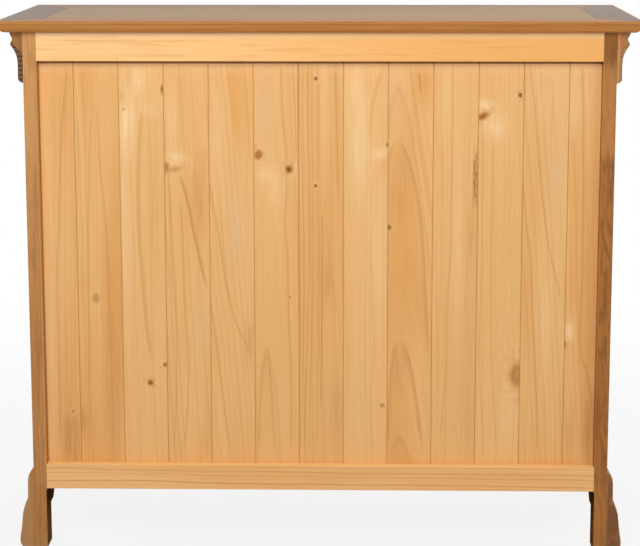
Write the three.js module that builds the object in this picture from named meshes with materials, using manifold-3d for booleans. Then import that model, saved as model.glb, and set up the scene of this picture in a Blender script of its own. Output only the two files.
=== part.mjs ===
// A chest of drawers: two short drawers over three long ones, in a carcass of corner posts and side panels.
// It has a framed and moulded top, corbels under the overhangs, shaped legs and a back of matched boards.
// Millimetres, +Z up. The drawers face -Y, and the origin is on the floor under the middle of the top.

import * as THREE from "three";
import { mergeVertices } from "three/addons/utils/BufferGeometryUtils.js";
import Module from "manifold-3d";

const wasm = await Module();
wasm.setup();

// Fits that every piece shares, and the steps in each stretch of a curve
const glueGap = 0.3;
const cutOverrun = 2;
const curveSteps = 3;

// The top: a panel in a mitred frame with a moulded edge
const topWidth = 1220;
const topDepth = 500;
const topThickness = 22;
const topFrameWidth = 80;
const topTongueLength = 8;
const topTongueThickness = 7;
const edgeLipHeight = 6;
const edgeQuirk = 2;
const ovoloReach = 14;

// The carcass, from the lowest rail to the top, and how far the top stands out over its sides
const carcassHeight = 900;
const legHeight = 120;
const sideOverhang = 46;
const frontOverhang = 35;
const rearOverhang = 25;
const postThickness = 25;
const postDepth = 50;

// The shaped part of a leg: how far it stands out of the post, and where it starts
const kneeReach = 30;
const kneeFrontReach = 27;
const kneeRise = 40;
const kneeStepShares = [0.4, 0.856];
const kneeStepCurveShares = [0.37, 0.955];
const footEdgeShare = 0.83;
const kneeShares = [
  [0.967, 0.04],
  [1, 0.1],
  [0.95, 0.175],
  [0.883, 0.24],
  [0.817, 0.363],
  [0.75, 0.456],
  [0.633, 0.525],
  [0.417, 0.625],
];

// The corbels under the top
const corbelReach = 24.5;
const corbelFrontReach = 18;
const corbelHeight = 97;
const corbelSetback = 3;
const corbelShares = [
  [0.796, 0.124],
  [0.96, 0.237],
  [0.735, 0.33],
  [0.53, 0.438],
  [0.43, 0.557],
  [0.41, 0.72],
  [0.41, 0.928],
  [0.286, 0.98],
  [0, 1],
];

// The side panels, tongued into the posts, and the brackets under them and under the front
const sideThickness = 16;
const sideTongueThickness = 8;
const sideTongueLength = 8;
const bracketDrop = 43;
const bracketFlat = 30;
const bracketLength = 70;
const fieldMargin = 46;
const fieldBevel = 9;
const fieldRise = 3;

// The back: two rails over a row of tongued and grooved boards
const backTopRailHeight = 55;
const backBottomRailHeight = 49;
const backRailThickness = 21;
const boardThickness = 14;
const boardCover = 86.3;
const endBoardWidth = 67.5;
const leastBoardWidth = 40;
const boardSeam = 0.6;
const boardArris = 1.2;
const boardTongueLength = 6;
const boardTongueThickness = 4;

// The frames that the drawers run on
const railHeight = 20;
const railDepth = 60;
const topRailHeight = 28;
const apronHeight = 50;
const apronThickness = 20;
const dustBoardThickness = 6;
const muntinWidth = 28;
const rowShares = [0.197, 0.236, 0.27, 0.297];

// The drawers
const drawerGap = 1.5;
const drawerTopGap = 4;
const drawerRearGap = 7;
const frontThickness = 20;
const frontMargin = 30;
const frontBevel = 8;
const boxThickness = 12;
const bottomThickness = 6;
const bottomGrooveDepth = 6;
const bottomRise = 10;
const dovetailLap = 7;
const dovetailPitch = 46;
const tailWideShare = 0.72;
const tailNarrowShare = 0.56;

// The turned knobs
const knobRadius = 19;
const knobProjection = 32;
const knobFootRadius = 14;
const knobNeckRadius = 8.5;
const spigotRadius = 6;
const spigotLength = 13;
const knobSides = 16;
const knobInsetShare = 0.2;
const knobFootShare = 0.12;
const knobNeckShares = [0.22, 0.42];
const knobRimShare = 0.7;
const knobCapShares = [
  [0.8, 0.6],
  [1, 0.74],
  [0.93, 0.86],
  [0.7, 0.95],
  [0.36, 0.99],
];

// Worked out from the sizes above
const carcassWidth = topWidth - 2 * sideOverhang;
const carcassDepth = topDepth - frontOverhang - rearOverhang;
const frontY = frontOverhang - topDepth / 2;
const rearY = frontY + carcassDepth;
const topUnderside = legHeight + carcassHeight;
const clearWidth = carcassWidth - 2 * postThickness;
const kneeHeight = legHeight + kneeRise;
const panelSpan = carcassDepth - 2 * postDepth;
const boardFrontY = rearY - backRailThickness - glueGap - boardThickness;
const frameDepth = boardFrontY - glueGap - frontY;
const rowsHeight = carcassHeight - apronHeight - topRailHeight - (rowShares.length - 1) * railHeight;
const drawerDepth = boardFrontY - drawerRearGap - frontY;

// Materials

function hardwood() {
  return new THREE.MeshStandardMaterial({ color: 0xa9784a, roughness: 0.5, metalness: 0 });
}

function panelWood() {
  return new THREE.MeshStandardMaterial({ color: 0xb5977a, roughness: 0.4, metalness: 0 });
}

function pine() {
  return new THREE.MeshStandardMaterial({ color: 0xe2b278, roughness: 0.6, metalness: 0 });
}

// Solids

function solidOf(geometry) {
  const bare = geometry.clone();
  bare.deleteAttribute("normal");
  bare.deleteAttribute("uv");
  const merged = mergeVertices(bare);
  const vertProperties = merged.attributes.position.array;
  const triVerts = new Uint32Array(merged.index.array);
  return new wasm.Manifold(new wasm.Mesh({ numProp: 3, vertProperties, triVerts }));
}

function geometryOf(solid) {
  const { vertProperties, triVerts } = solid.getMesh();
  const geometry = new THREE.BufferGeometry();
  geometry.setAttribute("position", new THREE.BufferAttribute(vertProperties, 3));
  geometry.setIndex(new THREE.BufferAttribute(triVerts, 1));
  const faceted = geometry.toNonIndexed();
  faceted.computeVertexNormals();
  return faceted;
}

function block(low, high) {
  const size = high.map((value, axis) => value - low[axis]);
  const middle = high.map((value, axis) => (value + low[axis]) / 2);
  return new THREE.BoxGeometry(...size).translate(...middle);
}

function joined(...geometries) {
  const solids = geometries.map(solidOf);
  return geometryOf(solids.reduce((whole, solid) => whole.add(solid)));
}

function cut(geometry, ...tools) {
  const solids = tools.map(solidOf);
  return geometryOf(solids.reduce((whole, tool) => whole.subtract(tool), solidOf(geometry)));
}

function common(geometry, other) {
  return geometryOf(solidOf(geometry).intersect(solidOf(other)));
}

// Turns that stand an outline up: its X and Y become X and Z, or Y and Z.
const upAcrossY = new THREE.Matrix4().makeBasis(
  new THREE.Vector3(1, 0, 0),
  new THREE.Vector3(0, 0, 1),
  new THREE.Vector3(0, -1, 0),
);
const upAcrossX = new THREE.Matrix4().makeBasis(
  new THREE.Vector3(0, 1, 0),
  new THREE.Vector3(0, 0, 1),
  new THREE.Vector3(1, 0, 0),
);

function extruded(shape, depth) {
  return new THREE.ExtrudeGeometry(shape, { depth, bevelEnabled: false, curveSegments: curveSteps });
}

// An outline in X and Z, extruded along Y from one place to another.
function extrudeAlongY(shape, from, to) {
  return extruded(shape, to - from).applyMatrix4(upAcrossY).translate(0, to, 0);
}

// An outline in Y and Z, extruded along X from one place to another.
function extrudeAlongX(shape, from, to) {
  return extruded(shape, to - from).applyMatrix4(upAcrossX).translate(from, 0, 0);
}

// An outline in X and Y, extruded up.
function extrudeUp(shape, from, to) {
  return extruded(shape, to - from).translate(0, 0, from);
}

function polygon(points) {
  return new THREE.Shape(points.map(([x, y]) => new THREE.Vector2(x, y)));
}

function sharePoints(shares, reach, height) {
  return shares.map(([across, along]) => new THREE.Vector2(across * reach, along * height));
}

function piece(name, geometry, material) {
  const mesh = new THREE.Mesh(geometry, material);
  mesh.name = name;
  return mesh;
}

// The top

// A frame rail's section: X runs outwards from the panel and Y up from the underside.
function mouldedSection() {
  const ovoloTop = topThickness - edgeLipHeight;
  const ovoloEdge = topFrameWidth - edgeQuirk;
  const grooveDepth = topTongueLength + glueGap;
  const grooveLow = (topThickness - topTongueThickness) / 2 - glueGap;
  const section = new THREE.Shape();
  section.moveTo(0, 0);
  section.lineTo(ovoloEdge - ovoloReach, 0);
  section.absellipse(ovoloEdge - ovoloReach, ovoloTop, ovoloReach, ovoloTop, -Math.PI / 2, 0, false, 0);
  section.lineTo(topFrameWidth, ovoloTop);
  section.lineTo(topFrameWidth, topThickness);
  section.lineTo(0, topThickness);
  section.lineTo(0, topThickness - grooveLow);
  section.lineTo(grooveDepth, topThickness - grooveLow);
  section.lineTo(grooveDepth, grooveLow);
  section.lineTo(0, grooveLow);
  return section;
}

// A rail of the top's frame along X with its panel side at Y 0 and its moulded edge out along +Y.
function topRail(length) {
  const section = extrudeAlongX(mouldedSection(), -length / 2, length / 2);
  const mitreInset = glueGap * Math.SQRT1_2;
  const outer = length / 2 - mitreInset;
  const inner = outer - topFrameWidth;
  const plan = polygon([
    [-outer, topFrameWidth],
    [-inner, 0],
    [inner, 0],
    [outer, topFrameWidth],
  ]);
  return common(section, extrudeUp(plan, -cutOverrun, topThickness + cutOverrun));
}

function topPanel() {
  const halfWidth = topWidth / 2 - topFrameWidth - glueGap;
  const halfDepth = topDepth / 2 - topFrameWidth - glueGap;
  const tongueLow = (topThickness - topTongueThickness) / 2;
  const tongueHigh = tongueLow + topTongueThickness;
  const board = block([-halfWidth, -halfDepth, 0], [halfWidth, halfDepth, topThickness]);
  const tongue = block(
    [-halfWidth - topTongueLength, -halfDepth - topTongueLength, tongueLow],
    [halfWidth + topTongueLength, halfDepth + topTongueLength, tongueHigh],
  );
  return joined(board, tongue);
}

function makeTop() {
  const top = new THREE.Group();
  top.position.z = topUnderside;
  top.add(piece("top_panel", topPanel(), panelWood()));
  const panelHalfWidth = topWidth / 2 - topFrameWidth;
  const panelHalfDepth = topDepth / 2 - topFrameWidth;
  const rails = [
    ["top_frame_back", topWidth, 0, panelHalfDepth, 0],
    ["top_frame_front", topWidth, 0, -panelHalfDepth, Math.PI],
    ["top_frame_left", topDepth, -panelHalfWidth, 0, Math.PI / 2],
    ["top_frame_right", topDepth, panelHalfWidth, 0, -Math.PI / 2],
  ];
  for (const [name, length, x, y, turn] of rails) {
    const rail = piece(name, topRail(length), hardwood());
    rail.position.set(x, y, 0);
    rail.rotation.z = turn;
    top.add(rail);
  }
  return top;
}

// Posts and legs

// A leg's outline: X runs outwards from the post's inner face, and Y up from the floor.
function legOutline(postSize, reach) {
  const outline = new THREE.Shape();
  const [stepAcross, stepAlong] = kneeStepShares;
  const [curveAcross, curveAlong] = kneeStepCurveShares;
  const postTop = topUnderside - glueGap;
  const knee = sharePoints(kneeShares, reach, kneeHeight);
  outline.moveTo(0, 0);
  outline.lineTo(postSize + footEdgeShare * reach, 0);
  outline.splineThru(knee.map((point) => new THREE.Vector2(postSize + point.x, point.y)));
  outline.lineTo(postSize + stepAcross * reach, stepAlong * kneeHeight);
  outline.quadraticCurveTo(
    postSize + curveAcross * reach,
    curveAlong * kneeHeight,
    postSize,
    kneeHeight,
  );
  outline.lineTo(postSize, postTop);
  outline.lineTo(0, postTop);
  return outline;
}

// The groove for the side panel's tongue, in the post's face towards the other post.
function panelGroove() {
  const tongueLow = (sideThickness - sideTongueThickness) / 2;
  return block(
    [tongueLow - glueGap, -cutOverrun, legHeight - bracketDrop - glueGap],
    [tongueLow + sideTongueThickness + glueGap, sideTongueLength + glueGap, topUnderside + cutOverrun],
  );
}

// A post stands with its inner face at X 0, its panel face at Y 0 and its knee out along +X.
function rearPost() {
  const leg = extrudeAlongY(legOutline(postThickness, kneeReach), 0, postDepth);
  return cut(leg, panelGroove());
}

// A front leg's knee turns the corner, so it is shaped on two faces.
function frontPost() {
  const sideView = extrudeAlongY(legOutline(postThickness, kneeReach), 0, postDepth + kneeFrontReach);
  const frontView = extrudeAlongX(legOutline(postDepth, kneeFrontReach), 0, postThickness + kneeReach);
  return cut(common(sideView, frontView), panelGroove());
}

// A corbel's outline: X runs outwards from the post's face and Y up from the top's underside.
function corbelOutline(back, reach) {
  const outline = new THREE.Shape();
  outline.moveTo(-back, -corbelHeight);
  outline.lineTo(-back, -glueGap);
  outline.lineTo(reach, -glueGap);
  outline.splineThru(sharePoints(corbelShares, reach, -corbelHeight));
  return outline;
}

// Corbels share their post's place, with their top edge at Z 0.
function rearCorbel() {
  const outline = corbelOutline(0, corbelReach);
  const bracket = extrudeAlongY(outline, corbelSetback, postDepth - corbelSetback);
  const start = postThickness + glueGap;
  return bracket.translate(start, 0, 0);
}

function frontCorbel() {
  const sideReach = corbelReach + glueGap;
  const frontReach = corbelFrontReach + glueGap;
  const sideView = extrudeAlongY(
    corbelOutline(postThickness, sideReach),
    corbelSetback,
    postDepth + frontReach,
  ).translate(postThickness, 0, 0);
  const frontView = extrudeAlongX(
    corbelOutline(postDepth, frontReach),
    corbelSetback,
    postThickness + sideReach,
  ).translate(0, postDepth, 0);
  const post = block(
    [-cutOverrun, -cutOverrun, -corbelHeight - cutOverrun],
    [postThickness + glueGap, postDepth + glueGap, cutOverrun],
  );
  return cut(common(sideView, frontView), post);
}

function makePosts() {
  const posts = new THREE.Group();
  const corners = [
    ["front_left", -1, -1],
    ["front_right", 1, -1],
    ["rear_left", -1, 1],
    ["rear_right", 1, 1],
  ];
  for (const [corner, side, end] of corners) {
    const isFront = end < 0;
    const place = new THREE.Group();
    const panelFaceY = isFront ? frontY + postDepth : rearY - postDepth;
    place.position.set((side * clearWidth) / 2, panelFaceY, 0);
    place.scale.set(side, end, 1);
    place.add(piece("leg_post_" + corner, isFront ? frontPost() : rearPost(), hardwood()));
    const corbel = piece("corbel_" + corner, isFront ? frontCorbel() : rearCorbel(), hardwood());
    corbel.position.z = topUnderside;
    place.add(corbel);
    posts.add(place);
  }
  return posts;
}

// Boards with a raised field

// A rectangle with a raised field: X and Z are its face, and its back is at Y 0.
function fieldedBoard(outline, width, low, high, thickness, margin, bevel) {
  const board = extrudeAlongY(outline, 0, thickness - fieldRise);
  const halfField = width / 2 - margin - bevel;
  const fieldLow = low + margin + bevel;
  const fieldHigh = high - margin - bevel;
  const face = polygon([
    [-halfField, fieldLow],
    [halfField, fieldLow],
    [halfField, fieldHigh],
    [-halfField, fieldHigh],
  ]);
  const embedded = (thickness - fieldRise) / 2;
  const field = new THREE.ExtrudeGeometry(face, {
    depth: embedded,
    bevelEnabled: true,
    bevelSegments: 1,
    bevelThickness: fieldRise,
    bevelSize: bevel,
  });
  field.applyMatrix4(upAcrossY).translate(0, thickness - fieldRise, 0);
  return joined(board, field);
}

// The lower edge of a board of a given width, with a bracket at each end.
function bracketedOutline(width, high) {
  const half = width / 2;
  const low = legHeight - bracketDrop;
  const curve = bracketLength - bracketFlat;
  const outline = new THREE.Shape();
  outline.moveTo(-half, low);
  outline.lineTo(-half + bracketFlat, low);
  outline.bezierCurveTo(
    -half + bracketFlat + curve / 2,
    low,
    -half + bracketFlat + curve / 4,
    legHeight,
    -half + bracketLength,
    legHeight,
  );
  outline.lineTo(half - bracketLength, legHeight);
  outline.bezierCurveTo(
    half - bracketFlat - curve / 4,
    legHeight,
    half - bracketFlat - curve / 2,
    low,
    half - bracketFlat,
    low,
  );
  outline.lineTo(half, low);
  outline.lineTo(half, high);
  outline.lineTo(-half, high);
  return outline;
}

// A side panel with its face out along +Y and its tongues at both ends of X.
function sidePanel() {
  const high = topUnderside - glueGap;
  const width = panelSpan - 2 * glueGap;
  const tongueLow = (sideThickness - sideTongueThickness) / 2;
  const half = panelSpan / 2 + sideTongueLength;
  const outline = bracketedOutline(width, high);
  const board = fieldedBoard(
    outline,
    width,
    legHeight,
    high,
    sideThickness,
    fieldMargin,
    fieldBevel,
  );
  const tongues = [-1, 1].map((side) => {
    const ends = [side * half, side * (width / 2 - cutOverrun)].sort((a, b) => a - b);
    return block(
      [ends[0], tongueLow, legHeight - bracketDrop],
      [ends[1], tongueLow + sideTongueThickness, high],
    );
  });
  return joined(board, ...tongues);
}

function makeSides() {
  const sides = new THREE.Group();
  for (const [name, side] of [["side_panel_left", -1], ["side_panel_right", 1]]) {
    const panel = piece(name, sidePanel(), hardwood());
    panel.position.set((side * clearWidth) / 2, (frontY + rearY) / 2, 0);
    panel.rotation.z = (-side * Math.PI) / 2;
    sides.add(panel);
  }
  return sides;
}

// The back

// A back board's plan: its front face is at Y 0, and a tongue stands out of its far side.
function boardPlan(width, hasGroove, hasTongue) {
  const near = boardSeam / 2;
  const far = width - boardSeam / 2;
  const tongueLow = (boardThickness - boardTongueThickness) / 2;
  const tongueHigh = tongueLow + boardTongueThickness;
  const grooveEnd = near + boardTongueLength + glueGap;
  const points = [[near, 0], [far, 0]];
  if (hasTongue) {
    points.push(
      [far, tongueLow],
      [far + boardTongueLength, tongueLow],
      [far + boardTongueLength, tongueHigh],
      [far, tongueHigh],
    );
  }
  points.push(
    [far, boardThickness - boardArris],
    [far - boardArris, boardThickness],
    [near + boardArris, boardThickness],
    [near, boardThickness - boardArris],
  );
  if (hasGroove) {
    points.push(
      [near, tongueHigh + glueGap],
      [grooveEnd, tongueHigh + glueGap],
      [grooveEnd, tongueLow - glueGap],
      [near, tongueLow - glueGap],
    );
  }
  return polygon(points);
}

// Numbered from the end that is on the left for someone who looks at the back.
function makeBackBoards() {
  const boards = new THREE.Group();
  const spare = clearWidth - endBoardWidth - leastBoardWidth;
  const fullBoards = Math.floor(spare / boardCover);
  const lastWidth = clearWidth - endBoardWidth - fullBoards * boardCover;
  const widths = [endBoardWidth, ...Array(fullBoards).fill(boardCover), lastWidth];
  let edge = clearWidth / 2;
  widths.forEach((width, index) => {
    const plan = boardPlan(width, index < widths.length - 1, index > 0);
    const name = "back_board_" + String(index + 1).padStart(2, "0");
    const board = piece(name, extrudeUp(plan, legHeight, topUnderside - glueGap), pine());
    edge -= width;
    board.position.set(edge, boardFrontY, 0);
    boards.add(board);
  });
  return boards;
}

function makeBackRails() {
  const rails = new THREE.Group();
  const half = clearWidth / 2 - glueGap;
  const topHigh = topUnderside - glueGap;
  const ends = [
    ["back_rail_top", topHigh - backTopRailHeight, topHigh],
    ["back_rail_bottom", legHeight, legHeight + backBottomRailHeight],
  ];
  for (const [name, low, high] of ends) {
    const rail = block([-half, rearY - backRailThickness, low], [half, rearY, high]);
    rails.add(piece(name, rail, pine()));
  }
  return rails;
}

// The drawer frames

// The heights of the drawer openings, from the top one down, each as its lowest and highest place.
function rowHeights() {
  const rows = [];
  let high = topUnderside - topRailHeight;
  for (const share of rowShares) {
    const low = high - share * rowsHeight;
    rows.push({ low, high });
    high = low - railHeight;
  }
  return rows;
}

// A frame with a thin dust board in it, its upper face at the given height.
function dustFrame(high) {
  const half = clearWidth / 2 - glueGap;
  const recess = (railHeight - dustBoardThickness) / 2;
  const slab = block([-half, frontY, high - railHeight], [half, frontY + frameDepth, high]);
  const innerHalf = half - railDepth;
  const innerFront = frontY + railDepth;
  const innerRear = frontY + frameDepth - railDepth;
  const upper = block(
    [-innerHalf, innerFront, high - recess],
    [innerHalf, innerRear, high + cutOverrun],
  );
  const lower = block(
    [-innerHalf, innerFront, high - railHeight - cutOverrun],
    [innerHalf, innerRear, high - railHeight + recess],
  );
  return cut(slab, upper, lower);
}

function makeDrawerFrames(rows) {
  const frames = new THREE.Group();
  const half = clearWidth / 2 - glueGap;
  const topHigh = topUnderside - glueGap;
  const topRailBlock = block(
    [-half, frontY, topUnderside - topRailHeight],
    [half, frontY + railDepth, topHigh],
  );
  const topFrame = joined(dustFrame(topHigh), topRailBlock);
  frames.add(piece("drawer_frame_top", topFrame, hardwood()));
  ["upper", "middle", "lower", "bottom"].forEach((level, index) => {
    frames.add(piece("drawer_frame_" + level, dustFrame(rows[index].low), hardwood()));
  });
  return frames;
}

// The bracket-ended board between the front legs, under the bottom frame.
function makeApron(row) {
  const outline = bracketedOutline(clearWidth - 2 * glueGap, row.low - railHeight - glueGap);
  const board = extrudeAlongY(outline, frontY, frontY + apronThickness);
  return piece("front_apron", board, hardwood());
}

function makeMuntin(row) {
  const board = block(
    [-muntinWidth / 2, frontY, row.low + glueGap],
    [muntinWidth / 2, frontY + frameDepth, row.high - glueGap],
  );
  return piece("muntin", board, hardwood());
}

// Drawers: each is made with its front face at Y 0, its opening's floor at Z 0 and its middle at X 0.

// One dovetail's outline, Y back from the drawer's face and Z up, grown all round by a fit gap.
function tailOutline(middle, pitch, grow) {
  const root = frontThickness + glueGap;
  const base = root + cutOverrun;
  const end = dovetailLap + glueGap - grow;
  const wide = (tailWideShare * pitch) / 2 + grow;
  const narrow = (tailNarrowShare * pitch) / 2 + grow;
  return polygon([
    [end, middle - wide],
    [root, middle - narrow],
    [base, middle - narrow],
    [base, middle + narrow],
    [root, middle + narrow],
    [end, middle + wide],
  ]);
}

// The dovetails of one side, from its lower edge to its upper one.
function tails(low, high, from, to, grow) {
  const count = Math.max(2, Math.round((high - low) / dovetailPitch));
  const pitch = (high - low) / count;
  return Array.from({ length: count }, (_, index) =>
    extrudeAlongX(tailOutline(low + (index + 0.5) * pitch, pitch, grow), from, to),
  );
}

function drawerSizes(openingWidth, openingHeight) {
  const halfWidth = openingWidth / 2 - drawerGap;
  return {
    halfWidth,
    halfInside: halfWidth - boxThickness,
    frontLow: drawerGap,
    frontHigh: openingHeight - drawerGap,
    sideLow: glueGap,
    sideHigh: openingHeight - drawerTopGap,
    bottomLow: glueGap + bottomRise,
    bottomHigh: glueGap + bottomRise + bottomThickness,
  };
}

function knobBore(x, z) {
  const depth = spigotLength + glueGap;
  const bore = new THREE.CylinderGeometry(
    spigotRadius + glueGap,
    spigotRadius + glueGap,
    depth + cutOverrun,
    knobSides,
  );
  return bore.translate(x, (depth - cutOverrun) / 2, z);
}

function drawerFront(sizes, knobPlaces) {
  const { halfWidth, halfInside, frontLow, frontHigh } = sizes;
  const width = 2 * halfWidth;
  const outline = polygon([
    [-halfWidth, frontLow],
    [halfWidth, frontLow],
    [halfWidth, frontHigh],
    [-halfWidth, frontHigh],
  ]);
  const board = fieldedBoard(
    outline,
    width,
    frontLow,
    frontHigh,
    frontThickness,
    frontMargin,
    frontBevel,
  );
  const facing = board.rotateZ(Math.PI).translate(0, frontThickness, 0);
  const sockets = [-1, 1].flatMap((side) => {
    const ends = [side * (halfInside - glueGap), side * (halfWidth + cutOverrun)].sort((a, b) => a - b);
    return tails(sizes.sideLow, sizes.sideHigh, ends[0], ends[1], glueGap);
  });
  const groove = block(
    [-halfInside - bottomGrooveDepth, frontThickness - bottomGrooveDepth, sizes.bottomLow - glueGap],
    [halfInside + bottomGrooveDepth, frontThickness + cutOverrun, sizes.bottomHigh + glueGap],
  );
  const bores = knobPlaces.map((x) => knobBore(x, (frontLow + frontHigh) / 2));
  return cut(facing, groove, ...sockets, ...bores);
}

function drawerBox(sizes) {
  const { halfWidth, halfInside, sideLow, sideHigh, bottomLow, bottomHigh } = sizes;
  const shoulder = frontThickness + glueGap;
  const walls = [-1, 1].flatMap((side) => {
    const ends = [side * halfInside, side * halfWidth].sort((a, b) => a - b);
    const wall = block([ends[0], shoulder, sideLow], [ends[1], drawerDepth, sideHigh]);
    return [wall, ...tails(sideLow, sideHigh, ends[0], ends[1], 0)];
  });
  const back = block(
    [-halfInside - cutOverrun, drawerDepth - boxThickness, bottomHigh + glueGap],
    [halfInside + cutOverrun, drawerDepth, sideHigh],
  );
  const groove = block(
    [-halfInside - bottomGrooveDepth, 0, bottomLow - glueGap],
    [halfInside + bottomGrooveDepth, drawerDepth + cutOverrun, bottomHigh + glueGap],
  );
  return cut(joined(...walls, back), groove);
}

function drawerBottom(sizes) {
  const half = sizes.halfInside + bottomGrooveDepth - glueGap;
  const front = frontThickness - bottomGrooveDepth + glueGap;
  return block([-half, front, sizes.bottomLow], [half, drawerDepth, sizes.bottomHigh]);
}

// A turned knob with its foot at Y 0, its cap out along -Y and its spigot back along +Y.
function knob() {
  const neck = knobNeckShares.map((share) => [knobNeckRadius, share * knobProjection]);
  const cap = knobCapShares.map(([across, along]) => [across * knobRadius, along * knobProjection]);
  const rim = [knobRimShare * knobRadius, (knobCapShares[0][1] + knobNeckShares[1]) / 2 * knobProjection];
  const outline = [
    [0, -spigotLength],
    [spigotRadius, -spigotLength],
    [spigotRadius, glueGap],
    [knobFootRadius, glueGap],
    [knobFootRadius, knobFootShare * knobProjection],
    ...neck,
    rim,
    ...cap,
    [0, knobProjection],
  ];
  const points = outline.map(([radius, along]) => new THREE.Vector2(radius, -along));
  return new THREE.LatheGeometry(points.reverse(), knobSides);
}

function makeDrawer(name, x, row, openingWidth, knobNames) {
  const drawer = new THREE.Group();
  drawer.position.set(x, frontY, row.low);
  const sizes = drawerSizes(openingWidth, row.high - row.low);
  const inset = knobNames.length > 1 ? (0.5 - knobInsetShare) * openingWidth : 0;
  const places = knobNames.length > 1 ? [-inset, inset] : [0];
  drawer.add(piece(name + "_front", drawerFront(sizes, places), hardwood()));
  drawer.add(piece(name + "_box", drawerBox(sizes), pine()));
  drawer.add(piece(name + "_bottom", drawerBottom(sizes), pine()));
  knobNames.forEach((knobName, index) => {
    const handle = piece(name + "_" + knobName, knob(), hardwood());
    handle.position.set(places[index], 0, (sizes.frontLow + sizes.frontHigh) / 2);
    drawer.add(handle);
  });
  return drawer;
}

function makeDrawers(rows) {
  const drawers = new THREE.Group();
  const shortWidth = (clearWidth - muntinWidth) / 2;
  const shortX = (shortWidth + muntinWidth) / 2;
  drawers.add(makeDrawer("drawer_top_left", -shortX, rows[0], shortWidth, ["knob"]));
  drawers.add(makeDrawer("drawer_top_right", shortX, rows[0], shortWidth, ["knob"]));
  const names = ["drawer_upper", "drawer_middle", "drawer_lower"];
  names.forEach((name, index) => {
    drawers.add(makeDrawer(name, 0, rows[index + 1], clearWidth, ["knob_left", "knob_right"]));
  });
  return drawers;
}

const chest = new THREE.Group();
const rows = rowHeights();
chest.add(makeTop());
chest.add(makePosts());
chest.add(makeSides());
chest.add(makeBackBoards());
chest.add(makeBackRails());
chest.add(makeDrawerFrames(rows));
chest.add(makeMuntin(rows[0]));
chest.add(makeApron(rows[rows.length - 1]));
chest.add(makeDrawers(rows));

export default chest;
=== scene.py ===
# The looks of a chest of drawers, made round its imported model.
# Metres, +Z up. The drawers face -Y, and the camera looks at the back, as the photograph does.

import functools
import math
import random

import bpy
from mathutils import Matrix, Vector


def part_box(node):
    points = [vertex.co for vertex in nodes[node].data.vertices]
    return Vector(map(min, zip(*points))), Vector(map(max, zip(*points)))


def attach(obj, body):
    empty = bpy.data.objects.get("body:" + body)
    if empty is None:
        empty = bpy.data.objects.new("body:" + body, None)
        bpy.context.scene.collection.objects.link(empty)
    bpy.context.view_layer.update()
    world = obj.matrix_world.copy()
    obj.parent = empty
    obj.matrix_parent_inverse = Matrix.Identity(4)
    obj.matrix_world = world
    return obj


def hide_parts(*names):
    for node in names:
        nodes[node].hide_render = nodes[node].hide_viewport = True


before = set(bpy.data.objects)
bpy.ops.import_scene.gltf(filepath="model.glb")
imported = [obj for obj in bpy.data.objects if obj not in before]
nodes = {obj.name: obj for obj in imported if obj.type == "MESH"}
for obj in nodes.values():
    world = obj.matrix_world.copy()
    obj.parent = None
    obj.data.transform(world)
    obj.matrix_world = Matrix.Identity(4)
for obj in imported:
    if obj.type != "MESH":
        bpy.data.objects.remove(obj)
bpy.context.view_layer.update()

SEED = 7

# The camera, in metres and degrees. Yaw turns it from looking along -Y, and pitch is downwards.
CAMERA_PLACE = (-0.0954, 4.0, 1.3096)
CAMERA_YAW, CAMERA_PITCH, CAMERA_ROLL = 1.42, 10.0, -0.07
CAMERA_LENS = 112.1
CAMERA_SHIFT_Y = -0.07

# The studio: lamps with their place, what they point at, their width and their power
LAMPS = {
    "key": ((0.4, 2.55, 2.15), (0, 0, 0.85), 1.8, 50),
    "fill": ((-2.6, 2.6, 1.4), (0, 0, 0.6), 2.2, 16),
    "front_key": ((-1.2, -2.9, 2.2), (0, 0, 0.6), 1.8, 58),
    "front_fill": ((2.6, -2.6, 1.4), (0, 0, 0.6), 2.2, 30),
    "left_side": ((-3.2, -0.5, 1.3), (0, 0, 0.5), 1.8, 24),
    "right_side": ((3.2, -0.5, 1.3), (0, 0, 0.5), 1.8, 16),
}
ROOM_LIGHT = 0.3
FLOOR_REACH = 30
FLOOR_TONE = 0.62
FLOOR_WHITE = 0.85
FLOOR_FADE = (0.9, 2.4)

# How widely the edges of sawn and planed pieces are rounded over
EDGE_ROUND = 0.0009
BOARD_EDGE_ROUND = 0.0004
WELD_DISTANCE = 0.00001
ROUNDED_OVER = math.radians(32)
SMOOTH_TO = math.radians(35)

# Wood colours as sRGB hex: early growth, late growth and a warmer stain that drifts over both. Ring widths
# and relief are in metres, and the rest are shares.
PINE = {
    "early": "EDB978", "late": "C48A4C", "warm": "E3A45C",
    "ring": 0.008, "contrast": 0.6, "fibre": 0.05, "roughness": 0.5, "relief": 0.00012, "gloss": 0.3,
}
RAIL_PINE = {**PINE, "early": "FFCE8E", "late": "E2A664", "warm": "F7BB76"}
LOW_RAIL_PINE = {
    **PINE, "early": "F6C080", "late": "BE8248", "warm": "EBAA64", "ring": 0.006, "contrast": 1.0,
}
HARDWOOD = {
    "early": "B57F4C", "late": "7C4B26", "warm": "A0672F",
    "ring": 0.0035, "contrast": 0.55, "fibre": 0.2, "roughness": 0.46, "relief": 0.0002, "gloss": 0.3,
}
# Copies of the hardwood for the posts at +X and -X: partly each post's own tone, partly painted light on the
# one at +X and painted shade on the one at -X
POST_LIT_AT_LEFT = {**HARDWOOD, "early": "C48D50", "late": "8E582A", "warm": "B2713C"}
POST_SHADED_AT_RIGHT = {**HARDWOOD, "early": "AE7232", "late": "6E3F12", "warm": "9A591A"}
MOULDING_WOOD = {**HARDWOOD, "early": "C48842", "late": "925827", "warm": "B87032"}
KNOB_WOOD = {
    **HARDWOOD, "early": "9C6233", "late": "5F3417", "warm": "88501F", "roughness": 0.38, "gloss": 0.45,
}
# The top's ends: the hardwood greyed with a painted reflection of the white studio at grazing angles
TOP_END_SHEEN_WOOD = {**HARDWOOD, "early": "8C735E", "late": "6F5646", "warm": "806552", "gloss": 0.2}
TOP_BACK_WOOD = {**MOULDING_WOOD, "early": "BA7E40", "late": "86522A", "warm": "AC6C32", "gloss": 0.25}
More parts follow.
